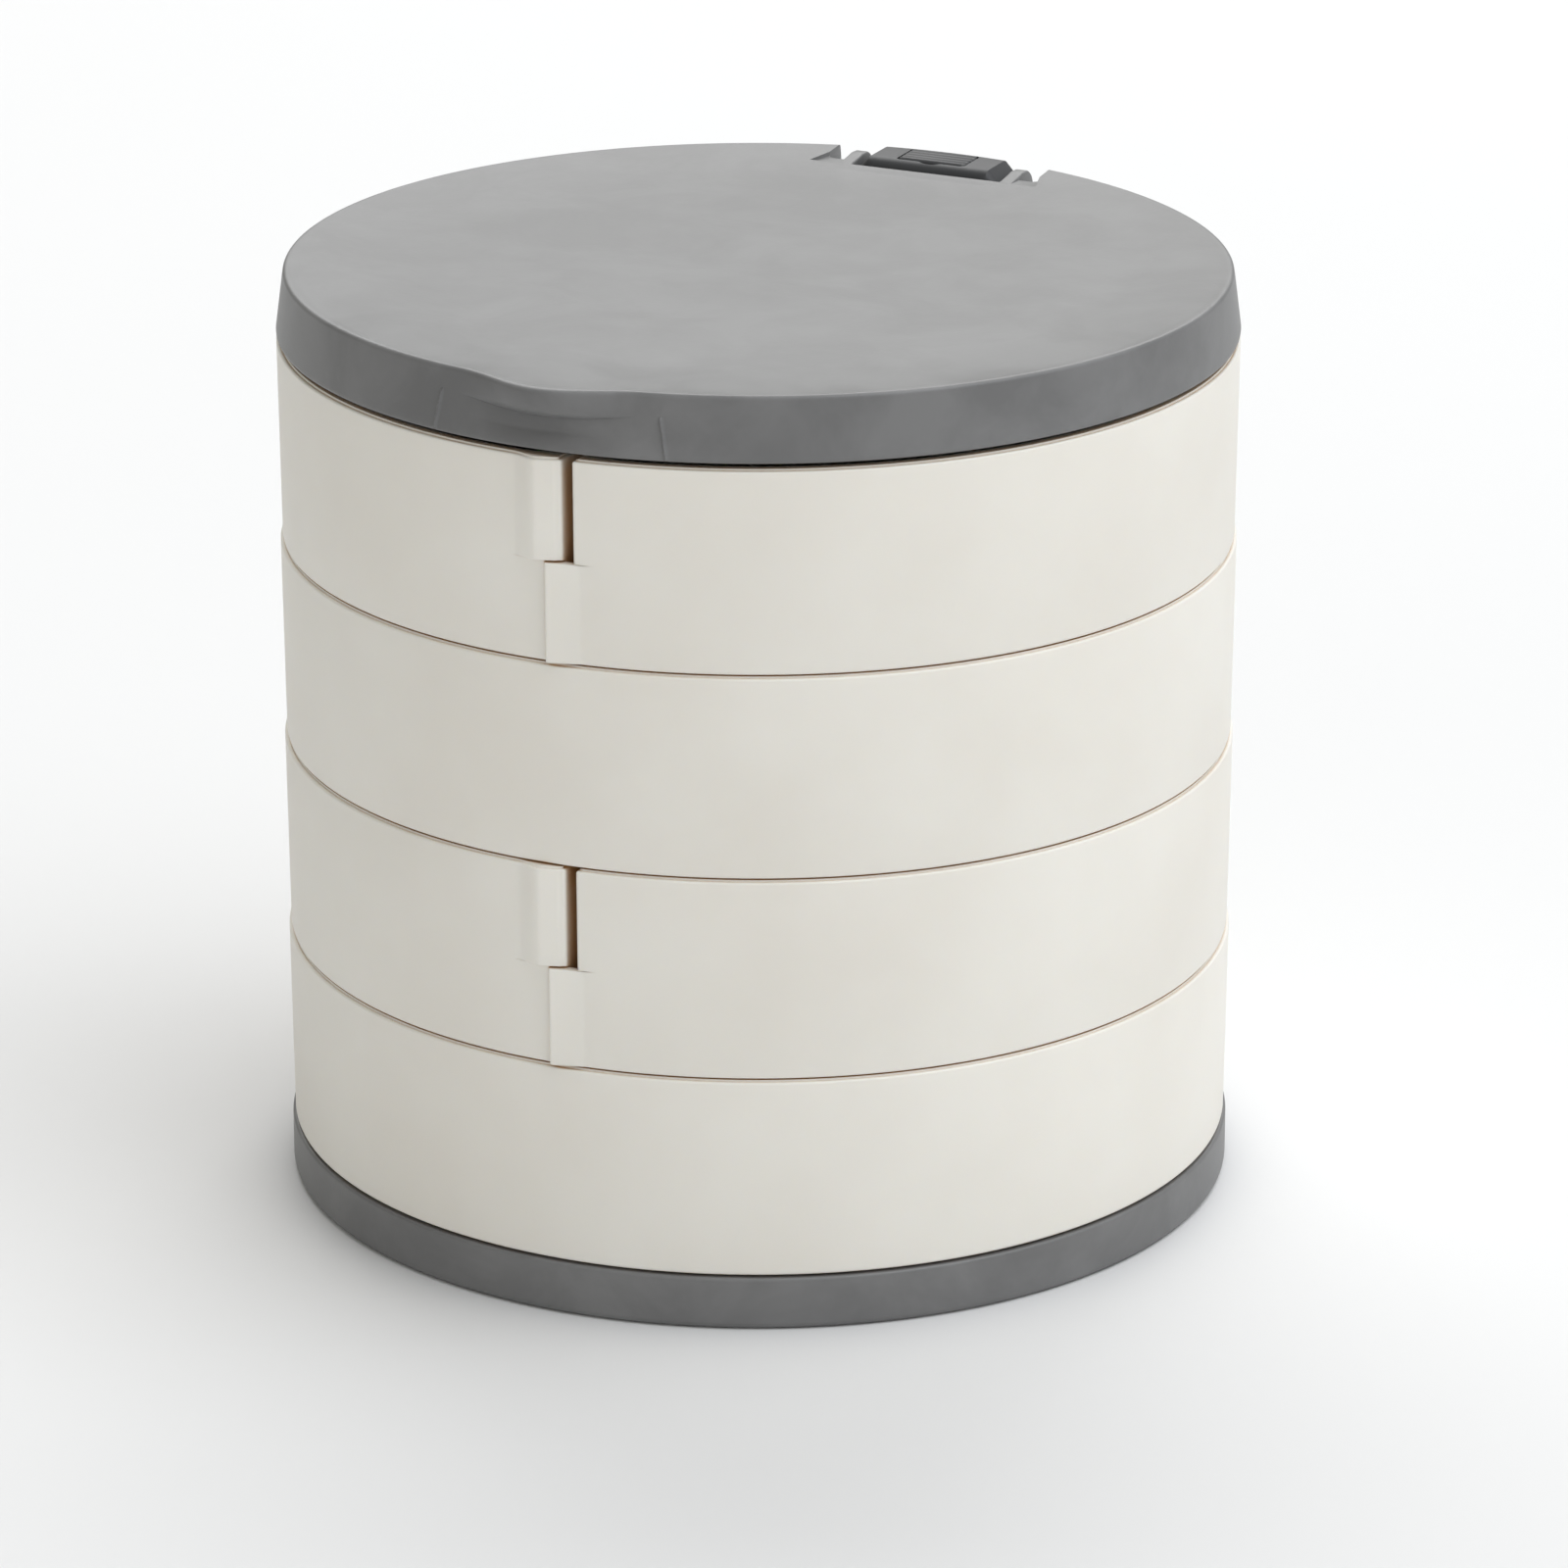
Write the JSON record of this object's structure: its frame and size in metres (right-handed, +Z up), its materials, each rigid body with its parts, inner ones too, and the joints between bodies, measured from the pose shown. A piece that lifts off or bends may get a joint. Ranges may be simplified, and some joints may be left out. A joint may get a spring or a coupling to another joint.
{
  "type": "swing-out storage box",
  "caption": "Round stacked storage box: split trays and full trays swing out about one rear shaft under a hinged lid with a thumb lip.",
  "frame": {"origin": "centre of the resting face underneath the foot", "axes": "+Z up, -Y towards the thumb lip and the front junction, +Y towards the rear shaft and lid hinge"},
  "size_m": [0.1044, 0.1059, 0.103],
  "materials": {
    "cream_plastic": "satin moulded polypropylene, cream",
    "grey_plastic": "fine matt moulded polypropylene, grey",
    "dark_plastic": "satin moulded acetal, dark grey",
    "washer_plastic": "natural acetal washer",
    "steel": "drawn and turned stainless steel"
  },
  "bodies": {
    "stand": {"base_foot": "grey_plastic", "base_screw_1": "steel", "base_screw_2": "steel", "base_screw_3": "steel", "bottom_tray": "cream_plastic", "pivot_shaft": "steel", "shaft_washer_lower": "steel", "shaft_screw_lower": "steel", "shaft_screw_upper": "steel", "spacer_washer_1": "washer_plastic", "spacer_washer_2": "washer_plastic", "spacer_washer_3": "washer_plastic", "spacer_washer_4": "washer_plastic", "hinge_block": "dark_plastic", "hinge_block_cap": "dark_plastic"},
    "lower_wing_left": {"lower_wing_left": "cream_plastic"},
    "lower_wing_right": {"lower_wing_right": "cream_plastic"},
    "middle_tray": {"middle_tray": "cream_plastic"},
    "upper_wing_left": {"upper_wing_left": "cream_plastic"},
    "upper_wing_right": {"upper_wing_right": "cream_plastic"},
    "lid": {"lid": "grey_plastic", "lid_pin_left": "steel", "lid_pin_right": "steel"}
  },
  "joints": [
    {"name": "lower_wing_left_swing", "type": "hinge", "parent": "stand", "child": "lower_wing_left", "pos_m": [0, 0.0476, 0.0395], "axis": [0, 0, -1], "range_deg": [0, 90]},
    {"name": "lower_wing_right_swing", "type": "hinge", "parent": "stand", "child": "lower_wing_right", "pos_m": [0, 0.0476, 0.0395], "axis": [0, 0, 1], "range_deg": [0, 90]},
    {"name": "middle_tray_turn", "type": "hinge", "parent": "stand", "child": "middle_tray", "pos_m": [0, 0.0476, 0.06185], "axis": [0, 0, 1], "continuous": true},
    {"name": "upper_wing_left_swing", "type": "hinge", "parent": "stand", "child": "upper_wing_left", "pos_m": [0, 0.0476, 0.0842], "axis": [0, 0, -1], "range_deg": [0, 90]},
    {"name": "upper_wing_right_swing", "type": "hinge", "parent": "stand", "child": "upper_wing_right", "pos_m": [0, 0.0476, 0.0842], "axis": [0, 0, 1], "range_deg": [0, 90]},
    {"name": "lid_hinge", "type": "hinge", "parent": "stand", "child": "lid", "pos_m": [0, 0.048, 0.1001], "axis": [-1, 0, 0], "range_deg": [0, 105]}
  ]
}
